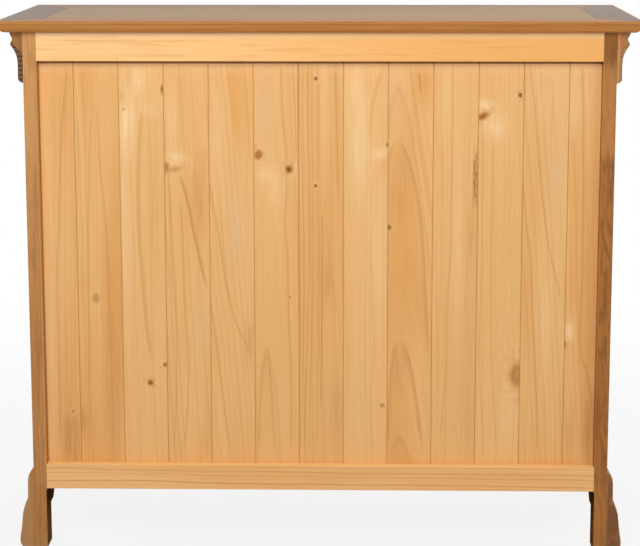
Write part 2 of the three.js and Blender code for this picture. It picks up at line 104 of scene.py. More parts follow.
# The top's front strip, greyed the same way with a painted reflection
TOP_FRONT_SHEEN_WOOD = {**MOULDING_WOOD, "early": "9C7A5C", "late": "785A42", "warm": "90704E", "gloss": 0.2}
# The top's panel: its own figure, greyed with a painted reflection of the white studio at grazing angles
PANEL_SHEEN_WOOD = {
    "early": "B2926A", "late": "8A6B48", "warm": "A17E5A",
    "ring": 0.005, "contrast": 0.8, "fibre": 0.12, "roughness": 0.5, "relief": 0.00015, "gloss": 0.2,
}
# Tones that are laid over the woods, as sRGB hex
TONES = {
    "late": "C28B46", "red": "CB8346", "orange": "DE9948", "pale": "F6D09C", "grey": "DDB98E",
    "brown": "B0692C", "bark": "AC6A2E", "seam": "B27C3C", "groove": "FFD890", "corner_shade": "744414",
    "core": "8A4C02", "red_core": "9C4C10", "ringed": "9C5C10", "rim": "C4802A",
    "low_rail_top_light": "FFCF88", "rail_end": "F0AC5A", "rail_streak": "DFA052", "rail_edge_light": "FFE0AE",
    "post_high": "D8A060", "post_light": "C08448", "post_plain": "B87C3C", "post_fleck": "764212",
    "post_top": "764410", "post_leg": "B4783E", "post_edge": "86663A", "post_lit": "E0A25C",
    "knee": "6B3D20", "ashen": "B08E68", "deep": "84501F", "inner": "26130A",
    "panel_front": "8A6B50", "panel_end": "A88A58",
    "carved": "3C1E14", "pale_carved": "85704A", "strip": "D9995F", "reddish": "B86A3C",
}
# How dark a ring is across its own width
RING_PROFILE = [(0, 0.3), (0.07, 0), (0.4, 0.06), (0.8, 0.5), (0.93, 1), (1, 0.3)]

# The back boards, from the end at +X, which is on the left in the photograph. Each board's rings come from
# a pith at a share of its width, at a depth under its face, leaning by so much for each metre up.
# Then come the rings' width, the contrast and how warm the board is.
BOARDS = [
    (-0.6, 0.030, -0.020, 0.009, 0.5, 0.40),
    (-0.4, 0.050, 0.012, 0.008, 0.6, 0.48),
    (-0.5, 0.040, 0.020, 0.010, 0.5, 0.10),
    (-0.3, 0.035, 0.050, 0.009, 0.7, 0.26),
    (-0.6, 0.040, 0.075, 0.011, 0.5, 0.22),
    (0.33, 0.050, 0.045, 0.010, 0.5, 0.20),
    (1.80, 0.020, -0.012, 0.0055, 0.9, 0.35),
    (-1.2, 0.040, 0.010, 0.010, 0.5, 0.05),
    (0.30, 0.030, 0.110, 0.013, 0.6, 0.42),
    (-0.8, 0.040, -0.014, 0.008, 0.6, 0.20),
    (-0.5, 0.040, 0.014, 0.010, 0.5, 0.16),
    (-0.7, 0.030, 0.070, 0.010, 0.6, 0.26),
    (-0.5, 0.030, 0.030, 0.009, 0.6, 0.40),
]

# In the next three tables, places and sizes across a board are in hundredths of its width, and the rest are
# in millimetres.

# The lines of the boards' figure. Each has its board, how far its shade fades to one side (to the right in
# the photograph where positive), its strength and tone, and its points from the top down.
STROKES = [
    (1, 9, 0.4, "late", ((81, 946), (68, 873), (56, 785), (47, 643), (39, 570), (36, 431), (36, 186))),
    (2, 3, 0.7, "late", ((41, 963), (30, 942), (23, 923))),
    (2, -6, 0.4, "late", ((57, 873), (59, 777), (66, 700), (73, 570), (75, 451), (77, 186))),
    (2, 6, 0.35, "late", ((39, 854), (34, 739), (30, 643), (27, 508), (24, 316), (23, 186))),
    (2, -5, 0.35, "late", ((16, 854), (11, 700), (7, 652))),
    (3, 12, 0.45, "late", ((53, 873), (44, 777), (42, 623), (47, 556), (51, 485), (60, 408), (69, 362))),
    (3, -4, 0.4, "grey", ((22, 643), (24, 527), (29, 431), (36, 351), (42, 274), (44, 186))),
    (3, 3, 0.3, "grey", ((20, 815), (18, 623), (16, 508))),
    (4, 9, 0.75, "late", ((36, 746), (52, 692), (66, 623), (75, 585), (84, 547), (98, 508))),
    (4, 5, 0.4, "late", ((16, 729), (18, 570), (25, 466), (25, 351), (20, 235), (16, 186))),
    (4, 6, 0.45, "late", ((39, 691), (42, 570), (45, 466), (50, 351), (43, 235), (36, 186))),
    (4, -4, 0.3, "late", ((39, 965), (41, 892), (43, 796))),
    (5, 22, 0.5, "orange", ((43, 965), (54, 873), (65, 767))),
    (5, -5, 0.3, "late", ((83, 965), (90, 854), (94, 758))),
    (5, -5, 0.5, "late", ((4, 742), (16, 681), (27, 623), (43, 523), (61, 454), (81, 412), (92, 383))),
    (5, -5, 0.4, "late", ((4, 508), (22, 389), (34, 293), (49, 186))),
    (6, 7, 0.45, "late", (
        (63, 965), (66, 854), (73, 781), (73, 708), (70, 643), (75, 581), (77, 466), (81, 351),
        (81, 186))),
    (6, -4, 0.5, "late", ((88, 965), (95, 854), (97, 767))),
    (6, 6, 0.4, "late", ((32, 404), (26, 385), (19, 331), (12, 239), (10, 186))),
    (6, -6, 0.4, "late", ((32, 404), (37, 385), (41, 331), (46, 259), (48, 186))),
    (7, 3, 0.45, "late", ((7, 965), (6, 700), (8, 470), (5, 186))),
    (7, 3, 0.4, "late", ((15, 965), (15, 700), (17, 581), (12, 316), (8, 186))),
    (7, 4, 0.5, "late", ((25, 965), (26, 719), (27, 581), (19, 316), (16, 186))),
    (7, 3, 0.45, "late", ((34, 965), (35, 700), (36, 581), (30, 316), (28, 186))),
    (7, 3, 0.45, "late", ((47, 965), (47, 700), (48, 508), (45, 316), (42, 186))),
    (7, -3, 0.5, "brown", ((57, 671), (57, 581), (55, 389), (54, 278))),
    (7, -9, 0.5, "late", ((86, 965), (88, 854), (93, 691))),
    (7, -3, 0.35, "late", ((66, 643), (77, 543), (93, 447), (99, 401))),
    (8, 11, 0.5, "orange", ((88, 965), (79, 931), (67, 892), (60, 835), (63, 792))),
    (8, 3, 0.3, "grey", ((40, 965), (38, 815), (45, 700), (51, 581), (51, 499))),
    (8, -3, 0.3, "grey", ((33, 623), (33, 508), (36, 186))),
    (8, -3, 0.35, "late", ((65, 623), (69, 508), (72, 389), (65, 274), (79, 186))),
    (9, 8, 0.45, "late", ((25, 811), (14, 802), (9, 783), (3, 754), (1, 723))),
    (9, -11, 0.5, "late", (
        (25, 811), (36, 804), (45, 788), (63, 731), (76, 669), (85, 570), (89, 504), (93, 435),
        (98, 389))),
    (9, 13, 0.5, "red", ((30, 420), (21, 408), (16, 381), (10, 331), (7, 274), (5, 186))),
    (9, -13, 0.55, "red", ((30, 420), (41, 410), (49, 393), (63, 343), (74, 274), (87, 186))),
    (9, 8, 0.45, "orange", ((49, 965), (58, 892), (67, 815), (80, 739), (91, 662))),
    (9, 3, 0.7, "brown", ((69, 946), (71, 923), (75, 896))),
    (10, 3, 0.3, "late", ((20, 965), (23, 777), (25, 681))),
    (10, 4, 0.35, "late", ((45, 965), (45, 700), (43, 570), (36, 489), (35, 351), (23, 209))),
    (10, 3, 0.25, "late", ((11, 623), (16, 451), (18, 316))),
    (11, -3, 0.4, "late", ((17, 825), (17, 581), (15, 389), (24, 235), (26, 186))),
    (11, -4, 0.35, "late", ((39, 806), (39, 427), (46, 312), (55, 186))),
    (12, -5, 0.5, "late", (
        (17, 965), (30, 873), (39, 785), (48, 708), (61, 623), (74, 566), (88, 518), (99, 485))),
    (12, -5, 0.5, "late", ((4, 777), (15, 662), (28, 570), (32, 485), (39, 389), (46, 235), (48, 186))),
    (12, 3, 0.2, "late", ((68, 965), (65, 892), (63, 758))),
    (13, 8, 0.5, "late", (
        (39, 965), (48, 815), (52, 581), (52, 485), (50, 420), (74, 351), (92, 274), (99, 186))),
]

# Soft patches of tone: board, place across it, height, half width, half height, tone and strength
PATCHES = [
    (1, 73, 216, 27, 73, "brown", 0.6), (1, 73, 374, 29, 134, "orange", 0.4),
    (1, 22, 508, 16, 384, "pale", 0.3), (2, 80, 355, 18, 211, "red", 0.45),
    (2, 7, 251, 8, 25, "brown", 0.8), (2, 18, 239, 16, 35, "orange", 0.5),
    (2, 16, 527, 11, 58, "orange", 0.3), (2, 82, 911, 18, 58, "orange", 0.3),
    (3, 49, 931, 18, 30, "pale", 0.8), (3, 22, 850, 20, 60, "pale", 1),
    (3, 13, 896, 7, 15, "orange", 0.7), (3, 29, 938, 9, 23, "orange", 0.3),
    (3, 16, 662, 11, 173, "pale", 0.5), (3, 80, 700, 20, 154, "red", 0.22),
    (3, 67, 869, 22, 15, "pale", 0.4), (4, 30, 777, 23, 10, "pale", 0.8),
    (4, 23, 854, 11, 67, "pale", 0.4), (4, 77, 691, 20, 69, "red", 0.45),
    (4, 89, 765, 11, 27, "orange", 0.35), (4, 89, 209, 11, 25, "orange", 0.5),
    (4, 80, 451, 18, 86, "grey", 0.35), (5, 74, 892, 18, 86, "orange", 0.45),
    (5, 22, 796, 16, 106, "pale", 0.35), (5, 61, 643, 22, 92, "grey", 0.5),
    (5, 88, 412, 11, 42, "red", 0.4), (6, 30, 873, 18, 73, "grey", 0.5),
    (6, 32, 742, 20, 17, "pale", 0.6), (6, 50, 719, 18, 35, "pale", 0.4),
    (7, 62, 873, 9, 115, "pale", 0.4), (7, 66, 531, 9, 38, "red", 0.5),
    (7, 82, 278, 18, 86, "red", 0.3), (8, 42, 796, 20, 86, "pale", 0.7),
    (8, 33, 911, 18, 67, "pale", 0.5), (8, 83, 785, 14, 12, "pale", 0.8),
    (8, 92, 762, 9, 15, "orange", 0.5), (8, 79, 604, 18, 115, "pale", 0.3),
    (8, 15, 412, 9, 192, "orange", 0.25), (9, 34, 719, 26, 73, "red", 0.28),
    (9, 34, 366, 18, 42, "brown", 0.3), (9, 82, 921, 15, 38, "orange", 0.6),
    (9, 32, 566, 26, 115, "orange", 0.35), (9, 16, 911, 15, 77, "grey", 0.3),
    (10, 29, 892, 11, 86, "pale", 0.35), (10, 61, 585, 11, 173, "pale", 0.4),
    (10, 90, 623, 9, 67, "red", 0.45), (10, 88, 450, 16, 130, "red", 0.3),
    (10, 84, 270, 20, 100, "red", 0.18), (11, 19, 881, 18, 10, "pale", 0.9),
    (11, 41, 836, 24, 25, "pale", 0.8), (11, 72, 700, 22, 115, "orange", 0.2),
    (11, 79, 268, 20, 54, "pale", 0.35), (12, 74, 758, 18, 106, "grey", 0.45),
    (12, 57, 451, 18, 115, "pale", 0.3), (12, 15, 508, 9, 115, "orange", 0.3),
    # The wide pale patches at a height of 920 on boards 12 and 13 are painted light on the tops of these
    # boards
    (12, 50, 920, 50, 120, "pale", 0.3), (13, 17, 892, 16, 86, "pale", 0.5),
    (13, 60, 920, 40, 120, "pale", 0.4), (13, 20, 439, 16, 19, "pale", 0.8),
    (13, 77, 508, 19, 154, "red", 0.35), (13, 83, 239, 19, 69, "brown", 0.45),
    (13, 33, 239, 25, 69, "red", 0.35),
]

# Knots: board, place across it, height, half width in millimetres, stretch, lean in degrees, how dark, tone
KNOTS = [
    (1, 79, 272, 1.9, 1.5, 0, 0.5, "core"), (2, 45, 500, 5.2, 1.3, 0, 0.45, "ringed"),
    (2, 4, 243, 2.5, 4, 0, 0.5, "core"), (3, 64, 331, 4.6, 1, 20, 0.9, "core"),
    (3, 96, 367, 3.3, 1, 0, 0.8, "core"), (3, 98, 909, 2.1, 3.2, 0, 0.8, "core"),
    (3, 17, 871, 1.9, 1, 0, 0.4, "core"), (4, 7, 758, 6.9, 1.1, 0, 0.7, "ringed"),
    (4, 27, 754, 4.2, 3, 80, 0.3, "core"), (6, 16, 783, 5.6, 1.2, 20, 0.85, "ringed"),
    (6, 80, 755, 5.4, 1.1, 0, 1, "core"), (6, 81, 504, 1.3, 1.3, 0, 0.7, "core"),
    (7, 43, 930, 2.7, 1, 0, 0.95, "core"), (7, 42, 723, 2.5, 1, 0, 0.95, "core"),
    (8, 98, 803, 1.7, 2.2, 0, 0.7, "core"), (8, 90, 287, 3.8, 0.9, 0, 0.5, "core"),
    (9, 8, 642, 4, 1, 0, 1, "core"), (11, 92, 899, 3.1, 1.2, 0, 0.95, "core"),
    (11, 14, 858, 4.8, 2.1, 62, 0.85, "red_core"), (11, 95, 349, 11.2, 1.6, 0, 0.62, "ringed"),
    (13, 8, 412, 2.9, 2, 0, 0.85, "core"),
]

# Where the lines' curves run from and to, how sharp their sharp side is, and how slowly they start and end
FIGURE_LOW, FIGURE_HIGH = 0.1, 1.03
LINE_SHARP = 0.0011
LINE_END = 0.022
KNOT_SIZE = 1.22
# The bark left on the edge of one board: board, inner edge as a share of the width, lowest and highest
BARK = (10, 0.87, 0.665, 0.815)
# The painted shade lines in the corner beside the post at +X and under the upper rail
CORNER_WIDTH = 0.0028
RAIL_SHADOW = 0.0068

# How far the posts' outer faces are beyond the back rail's end, and where their front faces are
POST_PAST_RAIL = 0.0256
POST_FRONT = -0.215
LEG_HEIGHT = 0.12
# How strongly the posts' inner faces are lit above the leg
LIT_SHARE = {"left": 0.25, "right": 0.5}
# The reddish patch on the corbels at -X: its place and its reach in X and Z
REDDISH_PLACE, REDDISH_REACH = (-0.57217, 1.00167), (0.00435, 0.01667)
# Where a piece in two woods changes from one to the other: the top's frame under its upper face, a drawer's
# frame behind its front edge, and a drawer's box before its back face
TOP_SKIN, FRAME_FRONT, BOX_BACK = 0.0012, 0.06, 0.012


def linear(hex_code):
    """An sRGB hex colour as a linear RGBA tuple."""
    parts = [int(hex_code[i : i + 2], 16) / 255 for i in (0, 2, 4)]
    return (*[p / 12.92 if p <= 0.04045 else ((p + 0.055) / 1.055) ** 2.4 for p in parts], 1.0)


def tone(name):
    return linear(TONES[name])


def rows_of(table, number):
    """One board's rows of a table, without its number."""
    return [row[1:] for row in table if row[0] == number]


def post_side():
    """How far the posts' outer faces are from the middle."""
    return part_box("back_rail_top")[1].x + POST_PAST_RAIL


class Graph:
    """A material's node tree, written as sums: each call adds its nodes and returns their output."""

    def __init__(self, tree):
        self.tree = tree

    def add(self, kind, **settings):
        node = self.tree.nodes.new(kind)
        for key, value in settings.items():
            setattr(node, key, value)
        return node

    def feed(self, socket, value):
        if isinstance(value, bpy.types.NodeSocket):
            self.tree.links.new(value, socket)
        else:
            socket.default_value = value

    def math(self, operation, *values):
        node = self.add("ShaderNodeMath", operation=operation)
        for socket, value in zip(node.inputs, values):
            self.feed(socket, value)
        return node.outputs[0]

    def total(self, *values):
        return functools.reduce(lambda a, b: self.math("ADD", a, b), values)

    def product(self, *values):
        return functools.reduce(lambda a, b: self.math("MULTIPLY", a, b), values)

    def less(self, a, b):
        return self.math("SUBTRACT", a, b)

    def length(self, a, b):
        return self.math("SQRT", self.total(self.product(a, a), self.product(b, b)))

    def spot(self, at, place, reach):
        """A soft spot: one at its place, falling off smoothly over its reach in each direction."""
        parts = [self.product(self.less(a, p), 1 / r) for a, p, r in zip(at, place, reach)]
        return self.math("EXPONENT", self.product(self.total(*[self.product(p, p) for p in parts]), -1))

    def vector(self, *parts):
        node = self.add("ShaderNodeCombineXYZ")
        for socket, value in zip(node.inputs, parts):
            self.feed(socket, value)
        return node.outputs[0]

    def noise(self, point, scale, detail=2.0, roughness=0.5):
        node = self.add("ShaderNodeTexNoise")
        self.feed(node.inputs["Vector"], point)
        for name, value in (("Scale", scale), ("Detail", detail), ("Roughness", roughness)):
            self.feed(node.inputs[name], value)
        return node.outputs[0]

    def swing(self, point, scale, reach, detail=2.0):
        """Noise that swings to either side of zero by about the given reach."""
        return self.product(self.less(self.noise(point, scale, detail), 0.5), 2 * reach)

    def between(self, value, low, high, to_low=0.0, to_high=1.0):
        node = self.add("ShaderNodeMapRange", interpolation_type="SMOOTHSTEP")
        for socket, number in zip(node.inputs, (value, low, high, to_low, to_high)):
            self.feed(socket, number)
        return node.outputs[0]

    def fall(self, value, low, high):
        """A smooth fall from one at low to zero at high."""
        return self.between(value, low, high, 1.0, 0.0)

    def mix(self, factor, a, b, blend="MIX"):
        node = self.add("ShaderNodeMix", data_type="RGBA", blend_type=blend, clamp_factor=True)
        for socket, value in ((node.inputs[0], factor), (node.inputs[6], a), (node.inputs[7], b)):
            self.feed(socket, value)
        return node.outputs[2]

    def lay(self, colour, *layers):
        """Lays tones over a colour: each layer is a tone's name and the shares that make up its strength."""
        for name, *shares in layers:
            colour = self.mix(self.product(*shares), colour, tone(name))
        return colour

    def ramp(self, value, stops):
        node = self.add("ShaderNodeValToRGB")
        self.feed(node.inputs[0], value)
        elements = node.color_ramp.elements
        while len(elements) < len(stops):
            elements.new(0.5)
        for element, (place, level) in zip(elements, stops):
            element.position = place
            element.color = (level, level, level, 1)
        return node.outputs[0]

    def curve(self, value, points):
        """A smooth curve through points of (value, level), all between zero and one."""
        node = self.add("ShaderNodeFloatCurve")
        self.feed(node.inputs["Value"], value)
        line = node.mapping.curves[0]
        points = sorted(points)
        line.points[0].location = points[0]
        line.points[1].location = points[-1]
        for point in points[1:-1]:
            line.points.new(*point)
        node.mapping.update()
        return node.outputs[0]

    def axes(self, point, names="xyz"):
        node = self.add("ShaderNodeSeparateXYZ")
        self.feed(node.inputs[0], point)
        return [node.outputs["xyz".index(name)] for name in names]

    def choice(self, factor, a, b):
        """A mix of two shaders."""
        node = self.add("ShaderNodeMixShader")
        for socket, value in zip(node.inputs, (factor, a.outputs[0], b.outputs[0])):
            self.feed(socket, value)
        return node

    def end(self, kind, shader):
        """Joins a shader to an output node of the given kind."""
        self.feed(self.add(kind).inputs["Surface"], shader.outputs[0])


def graph_of(block):
    """An empty graph for a material or a world."""
    block.use_nodes = True
    block.node_tree.nodes.clear()
    return Graph(block.node_tree)


def placed(name, data):
    """A new object with the given data, in the scene."""
    made = bpy.data.objects.new(name, data)
    bpy.context.scene.collection.objects.link(made)
    return made


# Wood

def knot_distance(g, u, v, half_width, stretch, lean):
    """How far a point is from a knot, in half widths, from its offsets sideways and lengthways."""
    turn = math.radians(-lean)
    wide = g.total(g.product(u, math.cos(turn)), g.product(v, -math.sin(turn)))
    high = g.total(g.product(u, math.sin(turn)), g.product(v, math.cos(turn)))
    return g.length(g.product(wide, 1 / half_width), g.product(high, 1 / (half_width * stretch)))


def knotted(g, colour, point, distance, dark, kind):
    """Lays a knot over the colour: a pale surround with a broken ring, a brown rim and a dark heart."""
    ragged = g.total(distance, g.swing(point, 320.0, 0.35))
    wavy = g.total(distance, g.swing(point, 110.0, 0.9))
    broken = g.between(g.noise(point, 90.0, detail=1.0), 0.4, 0.6)
    if kind == "ringed":
        heart = g.product(g.fall(ragged, 0.5, 1.25), g.between(ragged, 0.1, 0.7, 0.6, 1.0))
    else:
        heart = g.fall(ragged, 0.35, 1.2)
    return g.lay(
        colour,
        ("pale", g.between(wavy, 1.2, 3.8, 0.35, 0.0), dark),
        ("rim", g.between(wavy, 1.4, 2.1), g.fall(wavy, 2.1, 3.1), broken, 0.35 * dark),
        ("rim", g.fall(ragged, 0.9, 1.9), 0.75 * dark),
        (kind, heart, dark),
    )


def wood(g, point, grain, look, cut):
    """Adds one cut of wood: returns its colour, its late growth and its fibres.
    grain names the axes across its face, through it and along it; cut is its pith, lean and rings."""
    across, through, along = g.axes(point, grain)
    pith_across, pith_through, lean, ring, contrast, warmth, seed = cut
    slow = g.vector(g.total(across, seed), through, g.product(along, 0.16))
    wavy = g.vector(g.total(across, seed), through, g.product(along, 0.45))
    aside = g.total(across, -pith_across, g.swing(slow, 9.0, 0.014))
    down = g.total(through, -pith_through, g.swing(wavy, 22.0, 0.0035))
    rings = g.total(g.length(aside, down), g.product(along, lean), g.swing(slow, 5.0, 0.012))
    count = g.product(rings, 1 / ring)
    uneven = g.total(count, g.swing(g.vector(g.product(count, 0.7), seed, 0.0), 1.0, 0.45, detail=0.0))
    strength = g.add("ShaderNodeTexWhiteNoise", noise_dimensions="1D")
    g.feed(strength.inputs["W"], g.total(g.math("FLOOR", uneven), seed))
    profile = g.ramp(g.math("FRACT", uneven), RING_PROFILE)
    late = g.product(profile, g.between(strength.outputs[0], 0.1, 1.0, 0.2, 1.0))
    fine = g.vector(across, through, g.product(along, 0.02))
    fibres = g.noise(fine, 1400.0, detail=3.0, roughness=0.6)
    streaks = g.noise(fine, 240.0, detail=3.0, roughness=0.55)
    bands = g.noise(g.vector(g.product(count, 0.33), g.product(along, 1.4), seed), 1.0, detail=2.0)
    drift = g.total(g.product(g.noise(slow, 13.0), 0.55), g.product(bands, 0.45))
    warm = g.product(g.between(drift, 0.32, 0.68), 2 * warmth)
    colour = g.mix(warm, linear(look["early"]), linear(look["warm"]))
    colour = g.mix(g.product(late, look["contrast"] * contrast), colour, linear(look["late"]))
    grainy = g.total(g.product(fibres, 0.45), g.product(streaks, 0.55))
    shade = g.between(grainy, 0.3, 0.7, 1 - look["fibre"], 1 + look["fibre"] * 0.6)
    return g.mix(1.0, colour, g.vector(shade, shade, shade), blend="MULTIPLY"), late, fibres


def wood_material(name, look, build):
    """A wood material: build adds its colour, late growth and fibres at the object's own coordinates."""
    material = bpy.data.materials.new(name)
    g = graph_of(material)
    colour, late, fibres, *gloss = build(g, g.add("ShaderNodeTexCoord").outputs["Object"])
    bump = g.add("ShaderNodeBump")
    bump.inputs["Distance"].default_value = look["relief"]
    bump.inputs["Strength"].default_value = 0.6
    g.feed(bump.inputs["Height"], g.total(g.product(fibres, 0.7), g.product(late, 0.5)))
    shader = g.add("ShaderNodeBsdfPrincipled")
    for socket, value in (
        ("Base Color", colour),
        ("Roughness", g.total(look["roughness"] - 0.06, g.product(fibres, 0.14), g.product(late, -0.05))),
        ("Specular IOR Level", gloss[0] if gloss else look["gloss"]),
        ("Normal", bump.outputs[0]),
    ):
        g.feed(shader.inputs[socket], value)
    g.end("ShaderNodeOutputMaterial", shader)
    return material


def seeded_cut(seed, look, box, grain, warmth=0.3, contrast=1.0, arched=False):
    """A cut of wood from a log of its own, somewhere near the piece, the same on each run.
    An arched one is cut close by the pith of a leaning log, so that its rings run out in arches."""
    chance = random.Random(SEED + seed)
    low, high = box
    across, through, _ = ["xyz".index(axis) for axis in grain]
    width = high[across] - low[across]
    pith_across = low[across] + width * chance.uniform(-1.2, 1.6)
    pith_through = low[through] - chance.uniform(0.02, 0.07)
    lean = chance.uniform(-0.02, 0.03)
    if arched:
        pith_across = low[across] + width * chance.uniform(0.25, 0.75)
        pith_through = low[through] - chance.uniform(0.008, 0.02)
        lean = chance.choice((-1, 1)) * chance.uniform(0.05, 0.1)
    ring = look["ring"] * chance.uniform(0.8, 1.3)
    return (pith_across, pith_through, lean, ring, contrast, warmth, chance.uniform(3, 40))


def name_seed(name):
    return sum(ord(letter) * (place + 1) for place, letter in enumerate(name))


def wear(piece, material):
    piece.data.materials.clear()
    piece.data.materials.append(material)


def soften(piece, edge):
    """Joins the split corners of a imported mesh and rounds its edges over."""
    mesh = piece.data
    for attribute in ("custom_normal", "sharp_edge", "sharp_face"):
        if attribute in mesh.attributes:
            mesh.attributes.remove(mesh.attributes[attribute])
    weld = piece.modifiers.new("weld", "WELD")
    weld.merge_threshold = WELD_DISTANCE
    bevel = piece.modifiers.new("edges", "BEVEL")
    bevel.width = edge
    bevel.segments = 2
    bevel.limit_method = "ANGLE"
    bevel.angle_limit = ROUNDED_OVER
    bevel.harden_normals = True


def finish_node(name, look, build, edge=EDGE_ROUND):
    wear(nodes[name], wood_material("wood_" + name, look, build))
    soften(nodes[name], edge)


def dress(name, look, grain, warmth=0.3, contrast=1.0, over=None, arched=False):
    """Gives a CAD node its wood and softens its edges. over lays more on the colour."""
    cut = seeded_cut(name_seed(name), look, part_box(name), grain, warmth, contrast, arched)

    def build(g, point):
        colour, late, fibres = wood(g, point, grain, look, cut)
        gloss = look["gloss"]
        if over:
            colour, gloss = over(g, point, colour, gloss)
        return colour, late, fibres, gloss

    finish_node(name, look, build)


def two_woods(name, first, second, axis, change):
    """A node that is one wood below a height or before a depth, and another wood beyond it."""
    cuts = [
        seeded_cut(name_seed(name) + place, look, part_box(name), grain)
        for place, (look, grain) in enumerate((first, second))
    ]

    def build(g, point):
        beyond = g.between(g.axes(point, axis)[0], change - 0.0005, change + 0.0005)
        a, b = [wood(g, point, part[1], part[0], cut) for part, cut in zip((first, second), cuts)]
        late = g.total(g.product(a[1], g.less(1.0, beyond)), g.product(b[1], beyond))
        return g.mix(beyond, a[0], b[0]), late, a[2]

    finish_node(name, second[0], build)


# The back

def stroke_mask(g, share, along, cover, fade, points):
    """One line of the figure: sharp on one side and fading on the other."""
    span = FIGURE_HIGH - FIGURE_LOW
    height = g.product(g.less(along, FIGURE_LOW), 1 / span)
    line = g.curve(height, [((z / 1000 - FIGURE_LOW) / span, x / 100) for x, z in points])
    off = g.product(g.less(share, line), math.copysign(cover, fade))
    low, high = min(z for _, z in points) / 1000, max(z for _, z in points) / 1000
    fade = abs(fade)
    return g.product(
        g.between(off, -LINE_SHARP, LINE_SHARP * 0.3),
        g.fall(off, 0.0, fade),
        g.between(along, low - LINE_END * 0.3, low + LINE_END + 3 * fade),
        g.fall(along, high - LINE_END * 0.5 - fade, high + LINE_END * 0.2),
    )


def board_wood(g, point, number, left, cover, cut):
    """A back board: its own rings under the lines, patches and knots that the photograph shows."""
    across, depth, along = g.axes(point)
    colour, late, fibres = wood(g, point, "xyz", PINE, cut)
    bend = g.swing(g.vector(across, number, g.product(along, 0.3)), 30.0, 0.0012)
    share = g.product(g.less(left, g.total(across, bend)), 1 / cover)
    for x, z, half_share, half_height, kind, strength in rows_of(PATCHES, number):
        patch = g.spot((share, along), (x / 100, z / 1000), (half_share / 100, half_height / 1000))
        ragged = g.noise(g.vector(across, 0.0, g.product(along, 0.12)), 130.0, detail=3.0)
        colour = g.lay(colour, (kind, patch, g.between(ragged, 0.3, 0.65, 0.55, 1.15), strength * 0.9))
    for fade, strength, kind, points in rows_of(STROKES, number):
        colour = g.lay(colour, (kind, stroke_mask(g, share, along, cover, fade / 1000, points), strength))
    if number == BARK[0]:
        _, inner, low, high = BARK
        torn = g.total(share, g.swing(g.vector(across, 0.0, g.product(along, 0.25)), 90.0, 0.07))
        ends = g.product(g.between(along, low, low + 0.05), g.fall(along, high - 0.06, high))
        flecks = g.between(g.noise(g.vector(g.product(across, 3.0), 0.0, along), 70.0), 0.4, 0.6, 0.45, 0.95)
        colour = g.lay(colour, ("bark", g.between(torn, inner, inner + 0.05), ends, flecks))
    for x, z, half_width, stretch, lean, dark, kind in rows_of(KNOTS, number):
        u, v = g.less(across, left - x / 100 * cover), g.less(along, z / 1000)
        distance = knot_distance(g, u, v, half_width / 1000 * KNOT_SIZE, stretch, lean)
        colour = knotted(g, colour, point, distance, dark, kind)
    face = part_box("back_board_07")[1].y
    rail_end, rail_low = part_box("back_rail_top")[1].x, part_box("back_rail_top")[0].z
    # Darker seams at one edge of each board, painted light on the faces inside the joints, a band of painted
    # light under the upper rail, and painted shade lines under that rail and beside the post at +X
    colour = g.lay(
        colour,
        ("seam", g.between(across, left - 0.0024, left - 0.0004), 0.4),
        ("groove", g.fall(depth, face - 0.0012, face - 0.0003), 0.6),
        ("pale", g.between(along, rail_low - 0.03, rail_low - RAIL_SHADOW, 0.0, 0.4)),
        ("corner_shade", g.between(along, rail_low - RAIL_SHADOW, rail_low - RAIL_SHADOW * 0.75), 0.85),
        ("corner_shade", g.between(across, rail_end - CORNER_WIDTH * 1.3, rail_end - CORNER_WIDTH * 0.5), 0.3),
    )
    return colour, late, fibres


def dress_back():
    for number, (share, depth, lean, ring, contrast, warmth) in enumerate(BOARDS, 1):
        name = f"back_board_{number:02d}"
        low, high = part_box(name)
        cover = high.x - low.x
        cut = (high.x - share * cover, high.y - depth, lean, ring, contrast, warmth, number * 3.7)
        build = functools.partial(board_wood, number=number, left=high.x, cover=cover, cut=cut)
        finish_node(name, PINE, build, BOARD_EDGE_ROUND)
    dress("back_rail_top", RAIL_PINE, "zyx", warmth=0.25, contrast=1.2, over=top_rail_over)
    dress("back_rail_bottom", LOW_RAIL_PINE, "zyx", over=painted_light_upper_face)


# The lower rail's upper face is painted paler as painted light, and its gloss is taken off
def painted_light_upper_face(g, point, colour, gloss):
    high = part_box("back_rail_bottom")[1].z
    upper = g.between(g.axes(point, "z")[0], high - 0.0008, high - 0.0002)
    return g.lay(colour, ("low_rail_top_light", upper)), g.product(g.less(1.0, upper), gloss)


def top_rail_over(g, point, colour, gloss):
    """The upper rail, paler at its top with painted light under the moulding, and deeper orange towards -X.
    """
    x, y, z = g.axes(point)
    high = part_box("back_rail_top")[1].z
    streaks = g.between(g.noise(g.vector(g.product(x, 0.05), y, z), 170.0), 0.5, 0.7)
    return g.lay(
        colour,
        ("rail_end", g.between(x, 0.5, -0.4, 0.0, 0.8)),
        ("rail_streak", streaks, 0.4),
        ("rail_edge_light", g.between(z, high - 0.016, high - 0.002, 0.0, 0.6)),
    ), gloss


# The carcass

